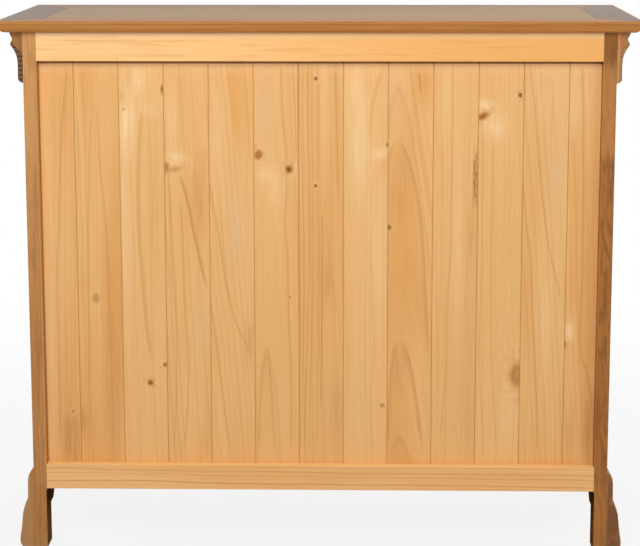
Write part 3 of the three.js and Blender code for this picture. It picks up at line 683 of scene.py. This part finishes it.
def post_over(g, point, colour, gloss, side):
    """A post's marks: streaked, lighter at the top with painted light, painted light and shade on the knee,
    painted light on the inner faces above the leg and painted shade on them inside the leg.
    """
    x, y, z = g.axes(point)
    out = g.math("ABSOLUTE", x)
    inner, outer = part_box("leg_post_rear_right")[0].x, post_side()
    slanted = g.vector(g.total(x, g.product(z, 0.05)), y, g.product(z, 0.12))
    streaks = g.between(g.noise(slanted, 75.0), 0.5, 0.68)
    on_leg = g.fall(z, LEG_HEIGHT, LEG_HEIGHT + 0.02)
    on_knee = g.product(g.between(out, outer + 0.001, outer + 0.004), g.fall(z, 0.135, 0.15))
    if side == "right":
        # At +X: painted light towards the top, streaks, a darker leg and painted light on the knee
        marks = [
            ("post_high", g.between(z, 0.3, 1.0), 0.55),
            ("deep", streaks, 0.28),
            ("deep", on_leg, 0.2),
            ("ashen", on_knee, 0.35),
        ]
    else:
        # At -X: a band of painted light near the top, where the figure is fainter, and painted shade on the
        # outer edge and on the knee
        light = g.product(g.between(z, 0.76, 0.8), g.fall(z, 0.945, 0.97))
        slanted_back = g.vector(g.total(x, g.product(z, -0.12)), y, g.product(z, 0.2))
        flecks = g.between(g.noise(slanted_back, 120.0, detail=3.0), 0.48, 0.62)
        figure_strength = g.total(0.62, g.product(light, -0.42))
        ragged = g.between(g.noise(point, 60.0), 0.3, 0.55, 0.35, 1.0)
        marks = [
            ("post_light", light, 0.62),
            ("post_plain", g.less(1.0, streaks), figure_strength, 0.2),
            ("deep", streaks, figure_strength),
            ("post_fleck", flecks, figure_strength, 0.8),
            ("post_top", g.between(z, 0.955, 0.985), 0.6),
            ("post_leg", on_leg, 0.25),
            ("post_edge", g.between(out, outer - 0.0035, outer - 0.001), 0.4),
            ("knee", on_knee, ragged, 0.75),
        ]
    # Painted light on the inner faces above the leg, and painted shade on them inside the leg, where the
    # gloss is taken off
    inside = g.fall(out, inner + 0.0004, inner + 0.0012)
    low_down = g.fall(z, LEG_HEIGHT - 0.005, LEG_HEIGHT)
    inner_shade = g.product(inside, low_down)
    marks += [
        ("post_lit", inside, g.less(1.0, low_down), LIT_SHARE[side]),
        ("inner", inner_shade, g.between(z, 0.03, 0.11, 0.6, 0.92)),
    ]
    return g.lay(colour, *marks), g.product(g.less(1.0, inner_shade), gloss)


def panel_over(g, point, colour, gloss):
    """The side panels' inner faces, darkened with painted shade like the legs'."""
    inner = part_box("side_panel_right")[0].x
    inner_shade = g.fall(g.math("ABSOLUTE", g.axes(point, "x")[0]), inner + 0.001, inner + 0.002)
    return g.lay(colour, ("inner", inner_shade, 0.8)), g.product(g.less(1.0, inner_shade), gloss)


def top_panel_over(g, point, colour, gloss):
    """The top's panel, deeper towards the front and yellower towards the right in the photograph."""
    x, y = g.axes(point, "xy")
    return g.lay(
        colour,
        ("panel_front", g.between(y, 0.05, -0.2, 0.0, 0.3)),
        ("panel_end", g.between(x, 0.1, -0.45, 0.0, 0.4)),
    ), gloss


def dress_carcass():
    dress("top_panel", PANEL_SHEEN_WOOD, "yzx", over=top_panel_over)
    for side, look, grain in (
        ("back", TOP_BACK_WOOD, "yzx"), ("front", TOP_FRONT_SHEEN_WOOD, "yzx"),
        ("left", TOP_END_SHEEN_WOOD, "xzy"), ("right", TOP_END_SHEEN_WOOD, "xzy"),
    ):
        edge = HARDWOOD if side == "front" else MOULDING_WOOD
        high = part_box("top_frame_" + side)[1]
        two_woods("top_frame_" + side, (edge, grain), (look, grain), "z", high.z - TOP_SKIN)
    for side in ("left", "right"):
        dress("side_panel_" + side, HARDWOOD, "yxz", contrast=1.3, over=panel_over, arched=True)
        for end in ("front", "rear"):
            look = POST_LIT_AT_LEFT if side == "right" else POST_SHADED_AT_RIGHT
            over = functools.partial(post_over, side=side)
            dress(f"leg_post_{end}_{side}", look, "xyz", over=over)
    dress("muntin", HARDWOOD, "xyz")
    dress("front_apron", HARDWOOD, "zyx")
    for level in ("top", "upper", "middle", "lower", "bottom"):
        low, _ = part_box("drawer_frame_" + level)
        two_woods("drawer_frame_" + level, (HARDWOOD, "zyx"), (PINE, "yzx"), "y", low.y + FRAME_FRONT)


def dress_drawers():
    for name in ("drawer_top_left", "drawer_top_right", "drawer_upper", "drawer_middle", "drawer_lower"):
        dress(name + "_front", HARDWOOD, "zyx", contrast=1.4, arched=True)
        _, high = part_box(name + "_box")
        two_woods(name + "_box", (PINE, "zxy"), (PINE, "zyx"), "y", high.y - BOX_BACK)
        dress(name + "_bottom", PINE, "yzx")


# Turned and carved pieces

# A knob's radius and its place before the drawer's front, from the spigot's end to the tip
KNOB_PROFILE = [
    (0.006, 0.0125), (0.006, 0.0002), (0.0128, 0.0), (0.0138, -0.0006), (0.014, -0.0018), (0.0136, -0.0032),
    (0.0122, -0.004), (0.0112, -0.0044), (0.0108, -0.0052), (0.0096, -0.0066), (0.0087, -0.0088),
    (0.0085, -0.0112), (0.009, -0.0134), (0.0106, -0.0156), (0.0132, -0.0176), (0.016, -0.0194),
    (0.018, -0.0214), (0.0189, -0.0234), (0.0188, -0.0252), (0.018, -0.0268), (0.0168, -0.0278),
    (0.0164, -0.028), (0.016, -0.0286), (0.014, -0.03), (0.0106, -0.0311), (0.0066, -0.0318),
    (0.0026, -0.032),
]
KNOB_SIDES = 48
# How far a knob's spigot goes into its drawer's front
SPIGOT = 0.013
BEAD_INSET, BEAD_WIDTH, BEAD_RISE, BEAD_SINK = 0.0065, 0.0046, 0.0022, 0.0004
BEAD_STEPS = 10
# What each point of a carved piece carries: its relief, from 0 in a groove to 1, and how far it is carved
CARVING_SHARES = ("depth", "carved")
CARVING_RIBS = 11
CARVING_DEPTH = 0.0016
# How far down a corbel the carving starts, as a share of its height
CARVING_START = 0.1
CORBEL_STATIONS, CHEEK_STEPS, LEAF_STEPS = 72, 12, 30
# The backs of the front corbels, a hair before the posts' front faces
CORBEL_PLANE = -0.2153
# How far a corbel reaches out down its height, as shares of both
CORBEL_SHARES = [
    (0, 1.0), (0.05, 0.94), (0.124, 0.796), (0.17, 0.84), (0.237, 0.96), (0.28, 0.87), (0.33, 0.735),
    (0.438, 0.53), (0.557, 0.43), (0.72, 0.41), (0.928, 0.41), (0.965, 0.34), (0.985, 0.24), (1.0, 0.06),
]
# The heights over which a corbel's plain cheek narrows, and the strip beside the post that stays plain at -X
CHEEK_SPAN = (0.16, 0.47)
CHEEK_SETBACK = 0.0022
PLAIN_STRIP_SHARE = 0.4
# The knees are all below this height
KNEE_TOP = 0.2
# The leaf on a knee: its steps down and across, its lowest and highest, its margin beside the edges, and how
# far it stands out, starts under the knee's face and goes in behind it
KNEE_STATIONS, KNEE_STEPS = 64, 26
KNEE_SPAN = (0.018, 0.152)
KNEE_MARGIN = 0.005
KNEE_RELIEF, KNEE_SINK, KNEE_ROOT = 0.0022, 0.0004, 0.002


def through(points):
    """A smooth function through points of (place, value)."""
    slopes = []
    for i in range(len(points)):
        a, b = points[max(i - 1, 0)], points[min(i + 1, len(points) - 1)]
        slopes.append((b[1] - a[1]) / (b[0] - a[0]))

    def value(t):
        t = min(max(t, points[0][0]), points[-1][0])
        i = max(i for i in range(len(points) - 1) if points[i][0] <= t)
        (t0, v0), (t1, v1) = points[i], points[i + 1]
        h = t1 - t0
        s = (t - t0) / h
        return (
            (2 * s**3 - 3 * s**2 + 1) * v0 + (s**3 - 2 * s**2 + s) * h * slopes[i]
            + (3 * s**2 - 2 * s**3) * v1 + (s**3 - s**2) * h * slopes[i + 1]
        )

    return value


def make_piece(name, points, faces):
    """A mesh piece that rides on nothing yet, smooth but for its sharp edges."""
    mesh = bpy.data.meshes.new(name)
    mesh.from_pydata(points, [], faces)
    mesh.validate()
    mesh.polygons.foreach_set("use_smooth", [True] * len(mesh.polygons))
    mesh.set_sharp_from_angle(angle=SMOOTH_TO)
    return placed(name, mesh)


def stitched(rings, looped=False):
    """Faces that join rings of points, each with the same count, into a closed tube or a loop."""
    count, rows = len(rings[0]), len(rings)
    faces = []
    for row in range(rows if looped else rows - 1):
        after = (row + 1) % rows
        for i in range(count):
            j = (i + 1) % count
            faces.append((row * count + i, row * count + j, after * count + j, after * count + i))
    if not looped:
        faces.append(tuple(reversed(range(count))))
        faces.append(tuple((rows - 1) * count + i for i in range(count)))
    return [point for ring in rings for point in ring], faces


def make_fitting(name, node, body, grain, points, faces):
    """A piece of knob wood that rides on a drawer, cut like the node that it belongs to."""
    piece = make_piece(name, points, faces)
    cut = seeded_cut(name_seed(node), KNOB_WOOD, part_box(node), grain)

    def build(g, point):
        return wood(g, point, grain, KNOB_WOOD, cut)

    wear(piece, wood_material("wood_" + name, KNOB_WOOD, build))
    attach(piece, body)
    return piece


def make_bead(body):
    """A half-round bead laid round a drawer's front, a little inside its edges."""
    node = body + "_front"
    low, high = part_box(node)
    section = []
    for step in range(BEAD_STEPS + 1):
        turn = math.pi * step / BEAD_STEPS
        inset = BEAD_INSET + BEAD_WIDTH * (1 + math.cos(turn)) / 2
        section.append((inset, BEAD_RISE * math.sin(turn) - BEAD_SINK))
    corners = [
        (low.x, 1, low.z, 1), (high.x, -1, low.z, 1), (high.x, -1, high.z, -1), (low.x, 1, high.z, -1),
    ]
    rings = [
        [(x + x_in * inset, low.y - rise, z + z_in * inset) for inset, rise in section]
        for x, x_in, z, z_in in corners
    ]
    make_fitting(node + "_bead", node, body, "zyx", *stitched(rings, looped=True))


def make_knob(node, body):
    low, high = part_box(node)
    middle = (low + high) / 2
    face = high.y - SPIGOT
    turns = [2 * math.pi * i / KNOB_SIDES for i in range(KNOB_SIDES)]
    rings = [
        [(middle.x + radius * math.cos(a), face + along, middle.z + radius * math.sin(a)) for a in turns]
        for radius, along in KNOB_PROFILE
    ]
    knob = make_fitting(node + "_turned", node, body, "xzy", *stitched(rings))
    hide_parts(node)


def leaf(s, t):
    """The relief of a carved leaf, from 0 in its grooves to 1: s runs down it and t across, from -1 to 1."""
    rib = math.exp(-((t / 0.13) ** 2))
    lobes = 0.5 + 0.5 * math.cos(2 * math.pi * (s * CARVING_RIBS - 0.9 * abs(t)))
    edge = max(0.0, 1 - abs(t) ** 5)
    return edge * max(rib, (0.25 + 0.75 * lobes) * (1 - 0.6 * math.exp(-(((abs(t) - 0.2) / 0.09) ** 2))))


def carved_wood(look, name, side):
    """The wood of a carved piece, darker in its grooves with painted shade, cut like the node that it
    belongs to.
    """
    cut = seeded_cut(name_seed(name), look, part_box(name), "xyz")

    def build(g, point):
        colour, late, fibres = wood(g, point, "xyz", look, cut)
        depth, carved = [
            g.add("ShaderNodeAttribute", attribute_name=share).outputs["Fac"] for share in CARVING_SHARES
        ]
        x, y, z = g.axes(point)
        # At -X a corbel has a paler strip beside the post as a painted highlight and a reddish patch of its
        # own; at +X a corbel is darkened all over with painted shade
        if name.startswith("corbel") and side == "left":
            strip = g.fall(g.math("ABSOLUTE", x), post_side() + 0.004, post_side() + 0.005)
            patch = g.spot((x, z), REDDISH_PLACE, REDDISH_REACH)
            colour = g.lay(colour, ("strip", strip, 0.85), ("reddish", patch, 0.6))
        elif name.startswith("corbel"):
            colour = g.lay(colour, ("deep", 0.45))
        # Painted shade in the grooves, by the relief: paler olive near the rear face of the rear corbel at
        # -X, and strongest on the rear corbel at +X
        shade = tone("carved")
        if name == "corbel_rear_left":
            rear_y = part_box(name)[1].y
            shade = g.lay(shade, ("pale_carved", g.between(y, rear_y - 0.004, rear_y - 0.0025)))
        dark = (0.95, 0.5) if name == "corbel_rear_right" else (0.72, 0.25)
        grooves = g.product(carved, g.between(depth, 0.0, 1.0, *dark))
        return g.mix(grooves, colour, shade), late, fibres

    return wood_material("wood_carved_" + name, look, build)


def make_carved(name, node, side, look, rings, flipped):
    """A carved piece on the carcass, from rings of points, each with its relief and how far it is carved."""
    entries, faces = stitched(rings)
    points, depths, carves = zip(*entries)
    if flipped:
        faces = [tuple(reversed(face)) for face in faces]
    piece = make_piece(name, points, faces)
    for share, values in zip(CARVING_SHARES, (depths, carves)):
        piece.data.attributes.new(share, "FLOAT", "POINT").data.foreach_set("value", values)
    wear(piece, carved_wood(look, node, side))
    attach(piece, "carcass")
    return piece


def make_corbel(end, side):
    """A corbel with a flat cheek and a carved leaf down its outer faces."""
    node = f"corbel_{end}_{side}"
    low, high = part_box(node)
    out = 1 if side == "right" else -1
    start = post_side()
    inner_end, outer_end = sorted((abs(low.x), abs(high.x)))
    profile = through(CORBEL_SHARES)
    plain_strip = PLAIN_STRIP_SHARE if side == "left" else 0.0
    rings = []
    for row in range(CORBEL_STATIONS + 1):
        s = row / CORBEL_STATIONS
        z = high.z - s * (high.z - low.z)
        x_reach = (outer_end - start) * profile(s)
        x_outer = start + x_reach
        front = low.y if end == "rear" else CORBEL_PLANE - (CORBEL_PLANE - low.y) * profile(s)
        middle, half = (high.y + front) / 2, (high.y - front) / 2
        cheek = max(plain_strip, min(1.0, (CHEEK_SPAN[1] - s) / (CHEEK_SPAN[1] - CHEEK_SPAN[0])))
        starting = min(1.0, s / CARVING_START)
        fade = min(starting, (1 - s) / 0.03 + 0.2)
        ripple = 0.5 + 0.5 * math.cos(2 * math.pi * (s * CARVING_RIBS - 0.9))
        ring = []

        def put(x, y, depth, carved):
            ring.append(((out * x, y, z), depth, carved))

        def side_face(y_face, inward):
            steps = range(CHEEK_STEPS + 1)
            for step in steps if inward < 0 else reversed(steps):
                share = step / CHEEK_STEPS
                carved = 1.0 if share > cheek + 0.06 and s > CARVING_START else 0.0
                y = y_face + inward * CHEEK_SETBACK * (1 - 0.55 * ripple) * carved
                put(start + share * x_reach, y, 0.2 + 0.6 * ripple if carved else 1, carved)

        def outer_face(place):
            for i in range(1, LEAF_STEPS):
                t = 2 * i / LEAF_STEPS - 1
                lift = leaf(s, t)
                put(*place(t, CARVING_DEPTH * (lift - 0.45) * fade), lift, starting)

        side_face(high.y, -1)
        outer_face(lambda t, lift: (x_outer + lift, middle - t * half))
        if end == "rear":
            side_face(low.y, 1)
        else:
            put(x_outer, front, 0.3, starting)
            outer_face(lambda t, lift: (x_outer - (t + 1) / 2 * (x_outer - inner_end), front - lift))
            put(inner_end, front, 0.3, starting)
            put(inner_end, CORBEL_PLANE, 1, 0)
            put(start, CORBEL_PLANE, 1, 0)
        rings.append(ring)
    flipped = (side == "right") != (end == "rear")
    corbel = make_carved(node + "_carved", node, side, HARDWOOD, rings, flipped)
    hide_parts(node)


def knee_reach():
    """How far the knees stand out from the posts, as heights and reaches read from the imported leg."""
    post_x = post_side()
    points = {}
    for vertex in nodes["leg_post_rear_right"].data.vertices:
        if vertex.co.x > post_x and vertex.co.z < KNEE_TOP:
            points[round(vertex.co.z, 5)] = vertex.co.x - post_x
    rows = sorted(points.items())

    def reach(z):
        for (z0, r0), (z1, r1) in zip(rows, rows[1:]):
            if z0 <= z <= z1:
                return r0 + (r1 - r0) * (z - z0) / (z1 - z0)
        return 0.0

    return reach


def carve_knee(end, side, face):
    """A carved leaf in relief on one face of a knee: face is x or y, the way it looks."""
    node = f"leg_post_{end}_{side}"
    low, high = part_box(node)
    out = 1 if side == "right" else -1
    inner_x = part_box("leg_post_rear_right")[0].x
    reach = knee_reach()
    rings = []
    for row in range(KNEE_STATIONS + 1):
        s = row / KNEE_STATIONS
        z = KNEE_SPAN[1] + (KNEE_SPAN[0] - KNEE_SPAN[1]) * s
        x_out, y_out = post_side() + reach(z), POST_FRONT - reach(z) * 0.9
        if face == "y":
            ends = inner_x + KNEE_MARGIN, x_out - KNEE_MARGIN
        else:
            ends = high.y - KNEE_MARGIN, (y_out if end == "front" else low.y) + KNEE_MARGIN
        fade = min(1.0, s / 0.08, (1 - s) / 0.08)
        ring = []

        def put(place, rise, depth, carved):
            point = (out * (x_out + rise), place, z) if face == "x" else (out * place, y_out - rise, z)
            ring.append((point, depth, carved))

        for i in range(KNEE_STEPS + 1):
            t = 2 * i / KNEE_STEPS - 1
            lift = leaf(s * 0.8, t) * fade
            place = ends[0] + (ends[1] - ends[0]) * i / KNEE_STEPS
            put(place, KNEE_RELIEF * lift - KNEE_SINK, lift, min(1.0, 3 * (1 - abs(t))) * fade)
        for place in reversed(ends):
            put(place, -KNEE_ROOT, 1, 0)
        rings.append(ring)
    look = POST_LIT_AT_LEFT if side == "right" else POST_SHADED_AT_RIGHT
    make_carved(f"{node}_leaf_{face}", node, side, look, rings, (out < 0) == (face == "x"))


def make_pieces():
    for name in list(nodes):
        if "_knob" in name:
            make_knob(name, name.split("_knob")[0])
        if name.startswith("drawer_") and name.endswith("_front"):
            make_bead(name.removesuffix("_front"))
    for end in ("front", "rear"):
        for side in ("left", "right"):
            make_corbel(end, side)
            carve_knee(end, side, "x")
            if end == "front":
                carve_knee(end, side, "y")


# The studio

def make_camera():
    data = bpy.data.cameras.new("camera")
    data.lens = CAMERA_LENS
    data.shift_y = CAMERA_SHIFT_Y
    camera = placed("camera", data)
    yaw, pitch, roll = [math.radians(a) for a in (CAMERA_YAW, CAMERA_PITCH, CAMERA_ROLL)]
    ahead = Vector((math.sin(yaw) * math.cos(pitch), -math.cos(yaw) * math.cos(pitch), -math.sin(pitch)))
    level = Vector((-math.cos(yaw), -math.sin(yaw), 0))
    above = level.cross(ahead)
    right = level * math.cos(roll) + above * math.sin(roll)
    up = right.cross(ahead)
    matrix = Matrix((right, up, -ahead)).transposed().to_4x4()
    matrix.translation = CAMERA_PLACE
    camera.matrix_world = matrix
    bpy.context.scene.camera = camera


def make_lamps():
    for name, (place, target, size, watts) in LAMPS.items():
        data = bpy.data.lights.new(name, "AREA")
        data.shape = "DISK"
        data.size = size
        data.energy = watts
        lamp = placed(name, data)
        lamp.location = place
        lamp.rotation_euler = (Vector(place) - Vector(target)).to_track_quat("Z", "Y").to_euler()
        lamp.visible_camera = False
        lamp.visible_glossy = place[1] > 0


def seen_directly(g):
    """One where the camera, a reflection or a transmission looks straight at a surface."""
    path = g.add("ShaderNodeLightPath")
    names = ("Is Camera Ray", "Is Glossy Ray", "Is Transmission Ray")
    return g.math("MINIMUM", g.total(*[path.outputs[name] for name in names]), 1.0)


def make_world():
    world = bpy.data.worlds.new("studio")
    g = graph_of(world)
    room, backdrop = g.add("ShaderNodeBackground"), g.add("ShaderNodeBackground")
    for light, strength in ((room, ROOM_LIGHT), (backdrop, 1.0)):
        light.inputs["Color"].default_value = (1, 1, 1, 1)
        light.inputs["Strength"].default_value = strength
    g.end("ShaderNodeOutputWorld", g.choice(seen_directly(g), room, backdrop))
    bpy.context.scene.world = world


def make_floor():
    mesh = bpy.data.meshes.new("floor")
    corners = [(x * FLOOR_REACH, y * FLOOR_REACH, 0) for x, y in ((-1, -1), (1, -1), (1, 1), (-1, 1))]
    mesh.from_pydata(corners, [], [(0, 1, 2, 3)])
    floor = placed("floor", mesh)
    material = bpy.data.materials.new("floor")
    g = graph_of(material)
    x, y = g.axes(g.add("ShaderNodeTexCoord").outputs["Object"], "xy")
    matt, white = g.add("ShaderNodeBsdfDiffuse"), g.add("ShaderNodeEmission")
    matt.inputs["Color"].default_value = (FLOOR_TONE, FLOOR_TONE, FLOOR_TONE, 1)
    whiteness = g.between(g.length(x, y), *FLOOR_FADE, FLOOR_WHITE, 1.0)
    g.end("ShaderNodeOutputMaterial", g.choice(g.product(seen_directly(g), whiteness), matt, white))
    wear(floor, material)


bpy.context.scene.view_settings.view_transform = "Standard"
make_camera()
make_world()
make_lamps()
make_floor()
dress_back()
dress_carcass()
dress_drawers()
make_pieces()
